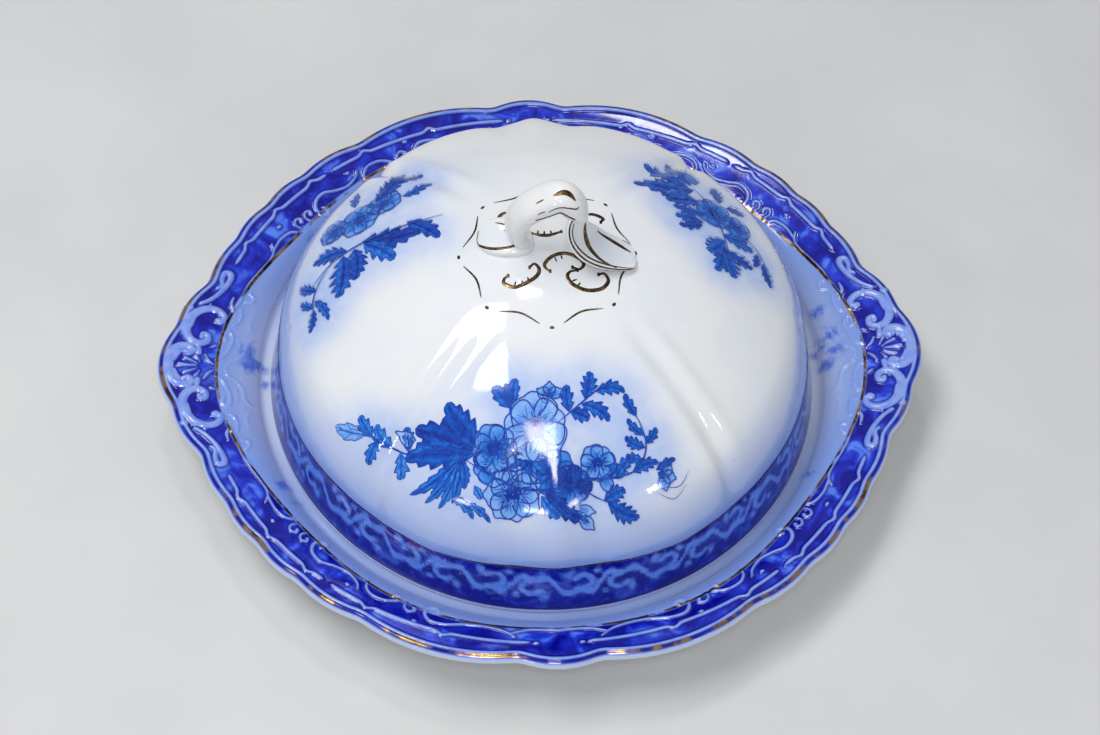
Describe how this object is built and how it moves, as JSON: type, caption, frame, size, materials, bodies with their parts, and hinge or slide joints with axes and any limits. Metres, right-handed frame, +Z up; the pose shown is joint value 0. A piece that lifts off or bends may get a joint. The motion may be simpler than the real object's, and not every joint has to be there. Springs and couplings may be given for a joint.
{
  "type": "butter dish",
  "caption": "Round covered butter dish with a scalloped, eared rim, a loose pierced drainer and a domed cover with a looped ribbon handle.",
  "frame": {"origin": "centre of the dish on the plane that its foot ring stands on", "axes": "+Z up; +X towards the right ear, the longest side; +Y towards the back, through the handle's opening"},
  "size_m": [0.198, 0.1774, 0.0899],
  "materials": {
    "dish_glaze": "clear gloss glaze over white earthenware with a cobalt blue printed rim",
    "drainer_glaze": "clear gloss glaze over white earthenware",
    "cover_glaze": "clear gloss glaze over white earthenware with flowing blue flowers and a cobalt band",
    "handle_glaze": "clear gloss glaze over white earthenware",
    "cobalt_print": "cobalt blue line print under a gloss glaze",
    "gilding": "thin worn gilding on the glaze"
  },
  "bodies": {
    "dish": {"dish": "dish_glaze"},
    "drainer": {"drainer": "drainer_glaze"},
    "cover": {"cover_dome": "cover_glaze", "handle_loop": "handle_glaze", "handle_leaf_left": "handle_glaze", "handle_leaf_right": "handle_glaze"}
  },
  "joints": [
    {"name": "cover_lift", "type": "slide", "parent": "dish", "child": "cover", "axis": [0, 0, 1], "range_m": [0, 0.12]},
    {"name": "drainer_lift", "type": "slide", "parent": "dish", "child": "drainer", "axis": [0, 0, 1], "range_m": [0, 0.05]}
  ],
  "couplings": [
    {"joint": "drainer_lift", "follows": "cover_lift", "ratio": 0.4}
  ]
}
